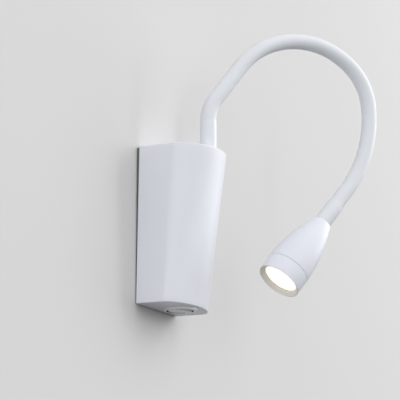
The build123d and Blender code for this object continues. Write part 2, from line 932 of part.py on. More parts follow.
with BuildPart() as board_screws:
    with BuildSketch(head_place.offset(board_front)):
        with GridLocations(0, board_screw_spacing, 1, 2):
            Circle(board_screw_head / 2)
    extrude(amount=board_screw_head_height)
    with BuildSketch(head_place.offset(board_front)):
        with GridLocations(0, board_screw_spacing, 1, 2):
            Circle(board_screw_size / 2)
    extrude(amount=-board_screw_length)
    with BuildSketch(head_place.offset(board_front + board_screw_head_height)):
        with GridLocations(0, board_screw_spacing, 1, 2):
            Rectangle(board_screw_head * recess_length, board_screw_head * recess_width)
            Rectangle(board_screw_head * recess_width, board_screw_head * recess_length)
    extrude(amount=-board_screw_head_height / 2, mode=Mode.SUBTRACT)
save(board_screws.part, "board_screws")

# the last of the lead: from the neck through the sink to the board
lead_turn = ledge_from_rear - head_lead_offset
lead_entry = link_start(last, lead_gap)
entry_distance = -(head_lean_length / 2 - lead_gap) - end_collar_length
with BuildPart() as neck_lead_9:
    with BuildLine(head_section):
        FilletPolyline(
            (0, entry_distance),
            (0, lead_turn - head_lead_offset),
            (head_lead_offset, lead_turn),
            (head_lead_offset, board_front),
            radius=2 * neck_lead_diameter,
        )
    with BuildSketch(lead_entry.across()):
        Circle(neck_lead_diameter / 2)
    sweep()
save(neck_lead_9.part, f"neck_lead_{last}")

# ---------------------------------------------------------------- head: optics and front ring

lens_flange_rear = lens_front - lens_flange_height
lens_cone_front = lens_front - lens_flange_height / 2

with BuildPart() as lens:
    with BuildSketch(head_section):
        with BuildLine():
            Polyline(
                (0, lens_front),
                (lens_flange_diameter / 2, lens_front),
                (lens_flange_diameter / 2, lens_flange_rear),
                (lens_flange_diameter / 2 - lens_gasket_band, lens_flange_rear),
                (lens_flange_diameter / 2 - lens_gasket_band, lens_cone_front),
                (lens_face / 2, lens_cone_front),
            )
            TangentArc(
                (lens_face / 2, lens_cone_front),
                (lens_rear_diameter / 2, lens_rear),
                tangent=(-1, -lens_slope),
            )
            Polyline(
                (lens_rear_diameter / 2, lens_rear),
                (lens_pocket_diameter / 2, lens_rear),
                (lens_pocket_diameter / 2, lens_rear + lens_pocket_depth),
                (0, lens_rear + lens_pocket_depth),
                (0, lens_front),
            )
        make_face()
    revolve(axis=head_axis)
save(lens.part, "lens")

with BuildPart() as diffuser:
    with BuildSketch(head_place.offset(diffuser_rear)):
        Circle(diffuser_diameter / 2)
    extrude(amount=diffuser_thickness)
save(diffuser.part, "diffuser")

with BuildPart() as lens_gasket:
    with BuildSketch(head_place.offset(gasket_rear)):
        Circle(diffuser_diameter / 2)
        Circle(diffuser_diameter / 2 - lens_gasket_band, mode=Mode.SUBTRACT)
    extrude(amount=lens_gasket_thickness)
save(lens_gasket.part, "lens_gasket")

front_radius = head_front_diameter / 2

with BuildPart() as bezel_ring:
    with BuildSketch(head_section):
        with BuildLine():
            Polyline(
                (bezel_bore, head_seam + seam_width),
                (widest, head_seam + seam_width),
                (front_radius, head_length),
                (front_radius - rim_width, head_length),
                (front_opening / 2, head_length - front_recess),
                (front_opening / 2, front_lip),
                (bezel_bore, front_lip),
                close=True,
            )
        make_face()
    revolve(axis=head_axis)
    fillet(
        bezel_ring.edges().filter_by(GeomType.CIRCLE).sort_by(head_axis)[-1],
        rim_round / 2,
    )
save(bezel_ring.part, "bezel_ring")
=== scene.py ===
"""Bedside wall reading lamp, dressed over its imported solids.

The wall is the plane Y = 0 and the lamp stands out towards -Y. Sizes in the outlines are in
millimetres, and everything handed to Blender is in metres.
"""

import math

import bmesh
import bpy
from bpy.props import FloatProperty, FloatVectorProperty, IntProperty, PointerProperty
from mathutils import Matrix, Vector


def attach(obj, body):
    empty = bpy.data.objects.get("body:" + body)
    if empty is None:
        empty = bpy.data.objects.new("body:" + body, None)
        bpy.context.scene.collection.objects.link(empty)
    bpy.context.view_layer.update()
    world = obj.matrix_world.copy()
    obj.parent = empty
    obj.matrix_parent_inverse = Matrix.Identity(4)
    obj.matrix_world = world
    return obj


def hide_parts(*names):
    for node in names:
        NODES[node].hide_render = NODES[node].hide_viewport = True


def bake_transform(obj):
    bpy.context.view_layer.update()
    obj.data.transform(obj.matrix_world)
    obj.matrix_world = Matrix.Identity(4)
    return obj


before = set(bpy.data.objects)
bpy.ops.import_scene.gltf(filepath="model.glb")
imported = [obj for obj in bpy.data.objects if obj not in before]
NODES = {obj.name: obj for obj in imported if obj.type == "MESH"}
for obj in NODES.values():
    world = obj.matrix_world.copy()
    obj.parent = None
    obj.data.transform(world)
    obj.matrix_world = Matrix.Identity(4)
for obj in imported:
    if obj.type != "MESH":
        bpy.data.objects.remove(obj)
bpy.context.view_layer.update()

bl_info = {
    "name": "Bedside wall reading lamp",
    "version": (1, 0, 0),
    "blender": (4, 5, 0),
    "location": "View3D > Sidebar > Reading lamp",
    "description": "Builds a wall reading lamp with a flexible neck over its packed frame",
    "category": "Object",
}

MM = 0.001  # metres
SHARP_ANGLE = 35.0  # degrees between two faces, past which their edge is drawn sharp
MERGE_DISTANCE = 1e-7  # metres

# The neck's bend plane stands this far round from the wall towards the room, in degrees.
NECK_PLANE = 38.4
# Lengths of neck that one joint stands for, in millimetres, and the bend of each in degrees.
NECK_RUNS = (
    (20.0, 37.0),
    (40.0, 0.0),
    (41.0, 29.5),
    (41.0, 28.0),
    (41.0, 33.5),
    (41.0, 48.0),
    (41.0, 22.5),
    (41.0, 20.5),
    (18.0, 0.0),
)


# ------------------------------------------------------------------ sizes and colours


class LampSizes(bpy.types.PropertyGroup):
    """Sizes of the lamp's visible pieces."""

    housing_width: FloatProperty(
        name="Housing width", description="Width of the housing", default=0.076, unit="LENGTH"
    )
    housing_height: FloatProperty(
        name="Housing height", description="Height of the housing", default=0.128, unit="LENGTH"
    )
    depth_top: FloatProperty(
        name="Depth at the top",
        description="Housing depth at its top",
        default=0.058,
        unit="LENGTH",
    )
    depth_bottom: FloatProperty(
        name="Depth at the bottom",
        description="Housing depth at its bottom",
        default=0.038,
        unit="LENGTH",
    )
    nose_top: FloatProperty(
        name="Nose at the top",
        description="Depth of the rounded front at the top",
        default=0.029,
        unit="LENGTH",
    )
    nose_bottom: FloatProperty(
        name="Nose at the bottom",
        description="Depth of the rounded front at the bottom",
        default=0.015,
        unit="LENGTH",
    )
    housing_edge: FloatProperty(
        name="Housing edge",
        description="Rounding of the housing's rims",
        default=0.0008,
        unit="LENGTH",
    )
    gap_top: FloatProperty(
        name="Gap at the top",
        description="From the wall to the housing's top",
        default=0.002,
        unit="LENGTH",
    )
    gap_bottom: FloatProperty(
        name="Gap at the bottom",
        description="From the wall to the housing's bottom",
        default=0.0004,
        unit="LENGTH",
    )
    neck_from_wall: FloatProperty(
        name="Neck from the wall",
        description="Distance of the neck's foot from the wall",
        default=0.046,
        unit="LENGTH",
    )
    collar_height: FloatProperty(
        name="Collar height", description="Height of the lower collar", default=0.026, unit="LENGTH"
    )
    end_collar_length: FloatProperty(
        name="Head collar",
        description="Length of the collar at the head",
        default=0.022,
        unit="LENGTH",
    )
    switch_from_wall: FloatProperty(
        name="Switch from the wall",
        description="Distance of the switch's middle from the wall",
        default=0.021,
        unit="LENGTH",
    )
    sleeve_radius: FloatProperty(
        name="Sleeve radius",
        description="Outer radius of the sleeve",
        default=0.0065,
        unit="LENGTH",
    )
    sleeve_wall: FloatProperty(
        name="Sleeve wall", description="Thickness of the sleeve", default=0.0019, unit="LENGTH"
    )
    sleeve_sides: IntProperty(
        name="Sleeve sides", description="Faces round the sleeve", default=48, min=12, max=96
    )
    turned_sides: IntProperty(
        name="Turned sides",
        description="Faces round each turned piece",
        default=96,
        min=24,
        max=192,
    )


class LampFinishes(bpy.types.PropertyGroup):
    """Colours of the lamp's visible pieces, linear."""

    paint: FloatVectorProperty(
        name="Paint",
        description="Housing and head paint",
        subtype="COLOR",
        default=(0.778, 0.799, 0.866),
    )
    sleeve: FloatVectorProperty(
        name="Sleeve",
        description="Sleeve and collars of the neck",
        subtype="COLOR",
        default=(0.765, 0.795, 0.84),
    )
    # The rim colour is painted light: a warm tint standing for the light of the lit front falling on
    # the ring's inner bevel.
    rim: FloatVectorProperty(
        name="Rim",
        description="Champagne lacquer inside the front ring",
        subtype="COLOR",
        default=(0.87, 0.83, 0.74),
    )
    light: FloatVectorProperty(
        name="Light",
        description="Colour of the lit front",
        subtype="COLOR",
        default=(1.0, 0.965, 0.86),
    )
    switch: FloatVectorProperty(
        name="Switch",
        description="Plastic of the switch",
        subtype="COLOR",
        default=(0.74, 0.745, 0.75),
    )
    wall: FloatVectorProperty(
        name="Wall",
        description="Wall behind the lamp and floor below it",
        subtype="COLOR",
        default=(0.668, 0.662, 0.662),
    )


def sizes():
    """The lamp's sizes, as the scene holds them."""
    return bpy.context.scene.lamp_sizes


def finishes():
    """The lamp's colours, as the scene holds them."""
    return bpy.context.scene.lamp_finishes


# ------------------------------------------------------------------ shader groups


def new_group(name, inputs, outputs):
    """An empty shader node group with float inputs (name, default) and outputs (name, kind)."""
    tree = bpy.data.node_groups.new(name, "ShaderNodeTree")
    for label, default in inputs:
        socket = tree.interface.new_socket(label, in_out="INPUT", socket_type="NodeSocketFloat")
        socket.default_value = default
    for label, kind in outputs:
        tree.interface.new_socket(label, in_out="OUTPUT", socket_type=kind)
    return tree, tree.nodes.new("NodeGroupInput"), tree.nodes.new("NodeGroupOutput")


def noise(tree, scale, detail, roughness):
    """A noise node on the piece's own coordinates. Its scale comes from a socket."""
    place = tree.nodes.new("ShaderNodeTexCoord")
    node = tree.nodes.new("ShaderNodeTexNoise")
    node.inputs["Detail"].default_value = detail
    node.inputs["Roughness"].default_value = roughness
    tree.links.new(place.outputs["Object"], node.inputs["Vector"])
    tree.links.new(scale, node.inputs["Scale"])
    return node


def moulded_grain_group():
    """Height of a fine, even grain with a slow waviness under it, as on paint and plastic."""
    tree, given, made = new_group(
        "moulded_grain",
        [("Grain Scale", 900.0), ("Wave Scale", 60.0), ("Wave Share", 0.4)],
        [("Height", "NodeSocketFloat"), ("Mask", "NodeSocketFloat")],
    )
    fine = noise(tree, given.outputs["Grain Scale"], detail=2.0, roughness=0.5)
    slow = noise(tree, given.outputs["Wave Scale"], detail=3.0, roughness=0.5)
    mix = tree.nodes.new("ShaderNodeMix")
    tree.links.new(given.outputs["Wave Share"], mix.inputs["Factor"])
    tree.links.new(fine.outputs["Fac"], mix.inputs["A"])
    tree.links.new(slow.outputs["Fac"], mix.inputs["B"])
    tree.links.new(mix.outputs["Result"], made.inputs["Height"])
    tree.links.new(slow.outputs["Fac"], made.inputs["Mask"])


def colour_drift_group():
    """A mask from 0 to 1 that drifts slowly, for the slight unevenness of a colour."""
    tree, given, made = new_group(
        "colour_drift",
        [("Scale", 25.0), ("Low", 0.35), ("High", 0.65)],
        [("Mask", "NodeSocketFloat")],
    )
    cloud = noise(tree, given.outputs["Scale"], detail=4.0, roughness=0.55)
    spread = tree.nodes.new("ShaderNodeMapRange")
    tree.links.new(cloud.outputs["Fac"], spread.inputs["Value"])
    tree.links.new(given.outputs["Low"], spread.inputs["From Min"])
    tree.links.new(given.outputs["High"], spread.inputs["From Max"])
    tree.links.new(spread.outputs["Result"], made.inputs["Mask"])


def turning_marks_group():
    """Height of fine turning marks, drawn out along X where Along is the lower scale."""
    tree, given, made = new_group(
        "turning_marks",
        [("Across", 1400.0), ("Along", 30.0)],
        [("Height", "NodeSocketFloat")],
    )
    place = tree.nodes.new("ShaderNodeTexCoord")
    stretch = tree.nodes.new("ShaderNodeCombineXYZ")
    scaled = tree.nodes.new("ShaderNodeVectorMath")
    scaled.operation = "MULTIPLY"
    marks = tree.nodes.new("ShaderNodeTexNoise")
    marks.inputs["Scale"].default_value = 1.0
    marks.inputs["Detail"].default_value = 2.0
    tree.links.new(given.outputs["Along"], stretch.inputs["X"])
    tree.links.new(given.outputs["Across"], stretch.inputs["Y"])
    tree.links.new(given.outputs["Across"], stretch.inputs["Z"])
    tree.links.new(place.outputs["Object"], scaled.inputs[0])
    tree.links.new(stretch.outputs["Vector"], scaled.inputs[1])
    tree.links.new(scaled.outputs["Vector"], marks.inputs["Vector"])
    tree.links.new(marks.outputs["Fac"], made.inputs["Height"])


SHADER_GROUPS = {
    "moulded_grain": moulded_grain_group,
    "colour_drift": colour_drift_group,
    "turning_marks": turning_marks_group,
}


def shader_group(name):
    """The named shader group, built on its first use."""
    if name not in bpy.data.node_groups:
        SHADER_GROUPS[name]()
    return bpy.data.node_groups[name]


def place_group(tree, name, **values):
    """A group node in a material, with its inputs set by their names."""
    node = tree.nodes.new("ShaderNodeGroup")
    node.node_tree = shader_group(name)
    for label, value in values.items():
        node.inputs[label.replace("_", " ")].default_value = value
    return node


# ------------------------------------------------------------------ finishes


def shade(colour, share):
    """The colour at a share of its lightness, with full alpha."""
    return tuple(channel * share for channel in colour) + (1.0,)


def finish(
    name,
    colour,
    roughness,
    drift=0.04,
    gloss_drift=0.06,
    relief=0.00002,
    metallic=0.0,
    coat=0.0,
    grain=900.0,
    waves=60.0,
    wave_share=0.4,
    marks=None,
    **sockets,
):
    """A material with a drifting colour and gloss and a fine relief.

    The relief is a moulded grain over slow waves, or turning marks where marks gives their two
    scales. Anything else sets the shader's own socket of that name.
    """
    material = bpy.data.materials.new(name)
    material.use_nodes = True
    tree = material.node_tree
    surface = tree.nodes["Principled BSDF"]
    surface.inputs["Metallic"].default_value = metallic
    surface.inputs["Coat Weight"].default_value = coat

    cloud = place_group(tree, "colour_drift")
    tint = tree.nodes.new("ShaderNodeMix")
    tint.data_type = "RGBA"
    tint.inputs["A"].default_value = shade(colour, 1.0 - drift)
    tint.inputs["B"].default_value = shade(colour, 1.0)
    tree.links.new(cloud.outputs["Mask"], tint.inputs["Factor"])
    tree.links.new(tint.outputs["Result"], surface.inputs["Base Color"])

    gloss = tree.nodes.new("ShaderNodeMapRange")
    gloss.inputs["To Min"].default_value = max(roughness - gloss_drift, 0.02)
    gloss.inputs["To Max"].default_value = min(roughness + gloss_drift, 1.0)
    bump = tree.nodes.new("ShaderNodeBump")
    bump.inputs["Distance"].default_value = relief
    if marks:
        relief_node = place_group(tree, "turning_marks", Across=marks[0], Along=marks[1])
        mask = relief_node.outputs["Height"]
    else:
        relief_node = place_group(
            tree, "moulded_grain", Grain_Scale=grain, Wave_Scale=waves, Wave_Share=wave_share
        )
        mask = relief_node.outputs["Mask"]
    tree.links.new(mask, gloss.inputs["Value"])
    tree.links.new(gloss.outputs["Result"], surface.inputs["Roughness"])
    tree.links.new(relief_node.outputs["Height"], bump.inputs["Height"])
    tree.links.new(bump.outputs["Normal"], surface.inputs["Normal"])
    for label, value in sockets.items():
        surface.inputs[label].default_value = value
    return material


def lit_front(name, colour):
    """The frosted front with the light behind it: pale in the middle and warmer at the edge."""
    frosted = (0.93, 0.92, 0.88)
    edge_colour = (0.92, 0.85, 0.66, 1.0)
    pale_radius, warm_radius = 0.010, 0.0165
    material = finish(name, frosted, 0.45, grain=2500.0, relief=0.00001)
    tree = material.node_tree
    surface = tree.nodes["Principled BSDF"]
    place = tree.nodes.new("ShaderNodeTexCoord")
    middle = tree.nodes.new("ShaderNodeMapping")
    middle.inputs["Location"].default_value = -front_centre()
    distance = tree.nodes.new("ShaderNodeVectorMath")
    distance.operation = "LENGTH"
    fall = tree.nodes.new("ShaderNodeMapRange")
    fall.inputs["From Min"].default_value = pale_radius
    fall.inputs["From Max"].default_value = warm_radius
    glow = tree.nodes.new("ShaderNodeMix")
    glow.data_type = "RGBA"
    glow.inputs["A"].default_value = tuple(colour) + (1.0,)
    glow.inputs["B"].default_value = edge_colour
    tree.links.new(place.outputs["Object"], middle.inputs["Vector"])
    tree.links.new(middle.outputs["Vector"], distance.inputs[0])
    tree.links.new(distance.outputs["Value"], fall.inputs["Value"])
    tree.links.new(fall.outputs["Result"], glow.inputs["Factor"])
    tree.links.new(glow.outputs["Result"], surface.inputs["Emission Color"])
    surface.inputs["Emission Strength"].default_value = 0.75
    return material


FINISHES = {}


def finish_of(name):
    """A finish by its name, made on its first use."""
    if name in FINISHES:
        return FINISHES[name]
    colours = finishes()
    recipes = {
        "paint": lambda: finish(
            "white_powder_paint", colours.paint, 0.46, drift=0.015, relief=0.00003, grain=1500.0,
            waves=220.0, wave_share=0.6, coat=0.06,
            **{"Coat Roughness": 0.2, "Specular IOR Level": 0.4},
        ),
        "sleeve": lambda: finish(
            "white_sleeve", colours.sleeve, 0.52, drift=0.03, relief=0.00002, waves=120.0,
        ),
        "collar": lambda: finish(
            "white_collar_paint", colours.sleeve, 0.44, drift=0.015, relief=0.00002, grain=1500.0,
            coat=0.1, **{"Coat Roughness": 0.3},
        ),
        # The rim's warm tint is painted light of the lit front on the ring's inner bevel.
        "rim": lambda: finish(
            "rim_painted_lens_light", colours.rim, 0.45, marks=(1500.0, 1500.0), relief=0.00001,
        ),
        "light": lambda: lit_front("lit_frosted_front", colours.light),
        "switch": lambda: finish(
            "switch_plastic", colours.switch, 0.3, drift=0.02, relief=0.00001, coat=0.2,
        ),
        "steel": lambda: finish(
            "zinc_plated_steel", (0.60, 0.61, 0.63), 0.36, metallic=1.0, drift=0.12,
            gloss_drift=0.1, marks=(900.0, 40.0), relief=0.00001,
        ),
        # Black rubber of the grommet and the lens gasket. Inside the switch's well the same black is
        # painted shade.
        "black": lambda: finish(
            "black_rubber", (0.018, 0.018, 0.019), 0.75, drift=0.3, relief=0.00004,
        ),
        "foam": lambda: finish("grey_foam", (0.15, 0.15, 0.155), 0.9, drift=0.2, relief=0.00005),
        "grey": lambda: finish(
            "grey_plastic", (0.11, 0.115, 0.12), 0.55, drift=0.1, relief=0.00004,
        ),
        "white_plastic": lambda: finish("white_plastic", (0.68, 0.68, 0.66), 0.4, relief=0.00002),
        "brass": lambda: finish(
            "brass", (0.76, 0.55, 0.25), 0.3, metallic=1.0, drift=0.15, marks=(900.0, 900.0),
        ),
        "brown": lambda: finish("brown_insulation", (0.06, 0.022, 0.012), 0.45, drift=0.1),
        "blue": lambda: finish("blue_insulation", (0.012, 0.035, 0.17), 0.45, drift=0.1),
        "white_lead": lambda: finish("white_insulation", (0.6, 0.6, 0.58), 0.5, drift=0.08),
        "aluminium": lambda: finish(
            "turned_aluminium", (0.70, 0.71, 0.73), 0.33, metallic=1.0, drift=0.06,
            marks=(1200.0, 1200.0), relief=0.00001,
        ),
        "board": lambda: finish("white_board", (0.75, 0.76, 0.74), 0.35, coat=0.3),
        "chip": lambda: finish("yellow_phosphor", (0.86, 0.62, 0.12), 0.35, drift=0.08),
        "pad": lambda: finish("grey_pad", (0.27, 0.28, 0.33), 0.8, drift=0.1, relief=0.00004),
        "clear": lambda: finish(
            "clear_acrylic", (0.95, 0.96, 0.97), 0.08, gloss_drift=0.02, relief=0.000002,
            IOR=1.49, **{"Transmission Weight": 1.0},
        ),
    }
    FINISHES[name] = recipes[name]()
    return FINISHES[name]


# ------------------------------------------------------------------ mesh helpers


def keep_piece(name, mesh, materials, smooth_angle=SHARP_ANGLE):
    """An object of the mesh, with its materials and its shading set."""
    for material in materials:
        mesh.materials.append(material)
    for face in mesh.polygons:
        face.use_smooth = True
    mesh.set_sharp_from_angle(angle=math.radians(smooth_angle))
    piece = bpy.data.objects.new(name, mesh)
    bpy.context.scene.collection.objects.link(piece)
    return piece


def soften(outline):
    """Rounds the corners of a closed outline of (radius, along, rounding, band) points.

    Returns points (radius, along, band). The band is the finish of the stretch that follows.
    """
    points = []
    count = len(outline)
    steps = 5
    longest = 0.45  # of the side next to a corner, so that two roundings never meet
    for index, (radius, along, rounding, band) in enumerate(outline):
        corner = Vector((radius, along))
        if rounding <= 0:
            points.append((radius, along, band))
            continue
        before = Vector(outline[index - 1][:2]) - corner
        after = Vector(outline[(index + 1) % count][:2]) - corner
        turn = math.pi - before.angle(after)
        reach = min(rounding * math.tan(turn / 2), before.length * longest, after.length * longest)
        first = corner + before.normalized() * reach
        final = corner + after.normalized() * reach
        earlier = outline[index - 1][3]
        for step in range(steps + 1):
            share = step / steps
            bent = first * (1 - share) ** 2 + corner * 2 * share * (1 - share) + final * share**2
            points.append((bent.x, bent.y, band if step == steps else earlier))
    return points


def turned(name, outline, place, materials, smooth_angle=SHARP_ANGLE):
    """A turned piece: the closed outline carried round the place's Z axis.

    place is a matrix whose Z is the axis. A point on the axis closes into a pole.
    """
    sides = sizes().turned_sides
    points = soften(outline)
    mesh = bpy.data.meshes.new(name)
    build = bmesh.new()
    rings = []
    for radius, along, _ in points:
        if radius == 0:
            rings.append([build.verts.new(place @ Vector((0, 0, along * MM)))])
            continue
        ring = []
        for side in range(sides):
            angle = 2 * math.pi * side / sides
            spot = Vector((radius * math.cos(angle), radius * math.sin(angle), along)) * MM
            ring.append(build.verts.new(place @ spot))
        rings.append(ring)
    for index, (_, _, band) in enumerate(points):
        low, high = rings[index], rings[(index + 1) % len(rings)]
        if len(low) == 1 and len(high) == 1:
            continue
        for side in range(sides):
            following = (side + 1) % sides
            corners = [low[side % len(low)], low[following % len(low)]]
            corners += [high[following % len(high)], high[side % len(high)]]
            unique = list(dict.fromkeys(corners))
            if len(unique) > 2:
                build.faces.new(unique).material_index = band
    bmesh.ops.remove_doubles(build, verts=build.verts, dist=MERGE_DISTANCE)
    bmesh.ops.recalc_face_normals(build, faces=build.faces)
    build.to_mesh(mesh)
    build.free()
    return keep_piece(name, mesh, materials, smooth_angle)


# ------------------------------------------------------------------ the neck's line


def outward():
    """The level direction in which the neck bends over."""
    angle = math.radians(NECK_PLANE)
    return Vector((math.cos(angle), -math.sin(angle), 0))


def neck_point(reach, rise):
    """A point of the bend plane in the row frame, from its reach and its rise in millimetres."""
    foot = Vector((0, -sizes().neck_from_wall, sizes().housing_height / 2))
    return foot + outward() * reach * MM + Vector((0, 0, rise * MM))


def heading_vector(heading):
    """The way along the neck, from its angle above the horizontal."""
    return outward() * math.cos(heading) + Vector((0, 0, math.sin(heading)))


def neck_stations():
    """(point, heading, length, turn) where each run of the neck starts, and its far end last."""
    reach, rise, heading = 0.0, sizes().collar_height / MM, math.pi / 2
    stations = []
    for length, turn in NECK_RUNS:
        stations.append((neck_point(reach, rise), heading, length * MM, math.radians(turn)))
        if turn:
            radius = length / math.radians(turn)
            centre = (reach + radius * math.sin(heading), rise - radius * math.cos(heading))
            heading -= math.radians(turn)
            reach = centre[0] - radius * math.sin(heading)
            rise = centre[1] + radius * math.cos(heading)
        else:
            reach += length * math.cos(heading)
            rise += length * math.sin(heading)
    stations.append((neck_point(reach, rise), heading, 0.0, 0.0))
    return stations


def head_frame():
    """Matrix at the rear of the head, with Z towards its front and X square to the bend plane."""
    point, heading, _, _ = neck_stations()[-1]
    axis = heading_vector(heading)
    side = outward().cross(Vector((0, 0, 1)))
    upright = axis.cross(side)
    turn = Matrix((side, upright, axis)).transposed().to_4x4()
    return Matrix.Translation(point + axis * sizes().end_collar_length) @ turn


def front_centre():
    """The middle of the frosted front."""
    from_rear = 0.0645
    return head_frame() @ Vector((0, 0, from_rear))


def upright_frame(x, y, z):
    """Matrix at a place, with Z upwards."""
    return Matrix.Translation(Vector((x, y, z)))


# ------------------------------------------------------------------ geometry nodes: the sleeve


def sleeve_tree():
    """Geometry nodes that turn a curve into a length of tube with a wall."""
    tree = bpy.data.node_groups.new("sleeve_along_curve", "GeometryNodeTree")
    socket = tree.interface.new_socket
    socket("Curve", in_out="INPUT", socket_type="NodeSocketGeometry")
    socket("Radius", in_out="INPUT", socket_type="NodeSocketFloat")
    socket("Wall", in_out="INPUT", socket_type="NodeSocketFloat")
    socket("Sides", in_out="INPUT", socket_type="NodeSocketInt")
    socket("Finish", in_out="INPUT", socket_type="NodeSocketMaterial")
    socket("Mesh", in_out="OUTPUT", socket_type="NodeSocketGeometry")
    given = tree.nodes.new("NodeGroupInput")
    made = tree.nodes.new("NodeGroupOutput")

    inner_radius = tree.nodes.new("ShaderNodeMath")
    inner_radius.operation = "SUBTRACT"
    tree.links.new(given.outputs["Radius"], inner_radius.inputs[0])
    tree.links.new(given.outputs["Wall"], inner_radius.inputs[1])

    skins = []
    for radius in (given.outputs["Radius"], inner_radius.outputs["Value"]):
        ring = tree.nodes.new("GeometryNodeCurvePrimitiveCircle")
        tree.links.new(given.outputs["Sides"], ring.inputs["Resolution"])
        tree.links.new(radius, ring.inputs["Radius"])
        skin = tree.nodes.new("GeometryNodeCurveToMesh")
        tree.links.new(given.outputs["Curve"], skin.inputs["Curve"])
        tree.links.new(ring.outputs["Curve"], skin.inputs["Profile Curve"])
        skins.append(skin)
    flip = tree.nodes.new("GeometryNodeFlipFaces")
    tree.links.new(skins[1].outputs["Mesh"], flip.inputs["Mesh"])
    join = tree.nodes.new("GeometryNodeJoinGeometry")
    tree.links.new(skins[0].outputs["Mesh"], join.inputs["Geometry"])
    tree.links.new(flip.outputs["Mesh"], join.inputs["Geometry"])
    smooth = tree.nodes.new("GeometryNodeSetShadeSmooth")
    tree.links.new(join.outputs["Geometry"], smooth.inputs["Geometry"])
    real = tree.nodes.new("GeometryNodeRealizeInstances")
    tree.links.new(smooth.outputs["Geometry"], real.inputs["Geometry"])
    paint = tree.nodes.new("GeometryNodeSetMaterial")
    tree.links.new(real.outputs["Geometry"], paint.inputs["Geometry"])
    tree.links.new(given.outputs["Finish"], paint.inputs["Material"])
    tree.links.new(paint.outputs["Geometry"], made.inputs["Mesh"])
    return tree


def run_curve(name, point, heading, length, turn):
    """A curve along one run of the neck, an arc or a straight line."""
    steps = 40
    data = bpy.data.curves.new(name, "CURVE")
    data.dimensions = "3D"
    data.resolution_u = steps
    spline = data.splines.new("BEZIER")
    spline.bezier_points.add(1)
    start_way = heading_vector(heading)
    end_way = heading_vector(heading - turn)
    if turn:
        radius = length / turn
        inward = outward() * math.sin(heading) - Vector((0, 0, math.cos(heading)))
        out_again = outward() * math.sin(heading - turn) - Vector((0, 0, math.cos(heading - turn)))
        end = point + inward * radius - out_again * radius
        handle = 4.0 / 3.0 * math.tan(turn / 4) * radius  # as long as an arc needs
    else:
        end = point + start_way * length
        handle = length / 3
    first, final = spline.bezier_points
    for spot in (first, final):
        spot.handle_left_type = spot.handle_right_type = "FREE"
    first.co, final.co = point, end
    first.handle_left = point - start_way * handle
    first.handle_right = point + start_way * handle
    final.handle_left = end - end_way * handle
    final.handle_right = end + end_way * handle
    curve = bpy.data.objects.new(name, data)
    bpy.context.scene.collection.objects.link(curve)
    return curve


def through_tree(curve, tree, name, ends, **inputs):
    """Runs the curve through the tree and returns a piece of plain mesh, closed at its ends."""
    modifier = curve.modifiers.new("build", "NODES")
    modifier.node_group = tree
    by_name = {item.name: item.identifier for item in tree.interface.items_tree}
    for label, value in inputs.items():
        modifier[by_name[label]] = value
    bpy.context.view_layer.update()
    seen = bpy.context.evaluated_depsgraph_get()
    mesh = bpy.data.meshes.new_from_object(curve.evaluated_get(seen), depsgraph=seen)
    curve.modifiers.remove(modifier)
    bpy.data.objects.remove(curve)
    mesh.name = name
    close_ends(mesh, ends)
    piece = bpy.data.objects.new(name, mesh)
    bpy.context.scene.collection.objects.link(piece)
    return piece


def close_ends(mesh, ends):
    """Joins the outer and the inner skin of a tube at both of its ends."""
    tube = bmesh.new()
    tube.from_mesh(mesh)
    bmesh.ops.remove_doubles(tube, verts=tube.verts, dist=MERGE_DISTANCE)
    for near, far in (ends, ends[::-1]):
        rims = []
        for edge in tube.edges:
            spot = edge.verts[0].co
            if edge.is_boundary and (spot - near).length < (spot - far).length:
                rims.append(edge)
        bmesh.ops.bridge_loops(tube, edges=rims)
    bmesh.ops.recalc_face_normals(tube, faces=tube.faces)
    tube.to_mesh(mesh)
    tube.free()
    mesh.set_sharp_from_angle(angle=math.radians(SHARP_ANGLE))


# ------------------------------------------------------------------ the housing


def housing_ring(build, z, inset):
    """Vertices along the housing's U-shaped plan at a height, from its left back to its right."""
    steps = 56  # round the nose
    size = sizes()
    rise = (z + size.housing_height / 2) / size.housing_height
    rise = min(max(rise, 0.0), 1.0)
    back = size.gap_bottom + (size.gap_top - size.gap_bottom) * rise
    depth = size.depth_bottom + (size.depth_top - size.depth_bottom) * rise
    nose = size.nose_bottom + (size.nose_top - size.nose_bottom) * rise
    half = size.housing_width / 2 - inset
    shoulder = depth - nose
    halfway = -(back + shoulder) / 2
    spots = [Vector((-half, -back, z)), Vector((-half, halfway, z))]
    for step in range(steps + 1):
        angle = math.pi + math.pi * step / steps
        y = -shoulder + (nose - inset) * math.sin(angle)
        spots.append(Vector((half * math.cos(angle), y, z)))
    spots += [Vector((half, halfway, z)), Vector((half, -back, z))]
    return [build.verts.new(spot) for spot in spots]


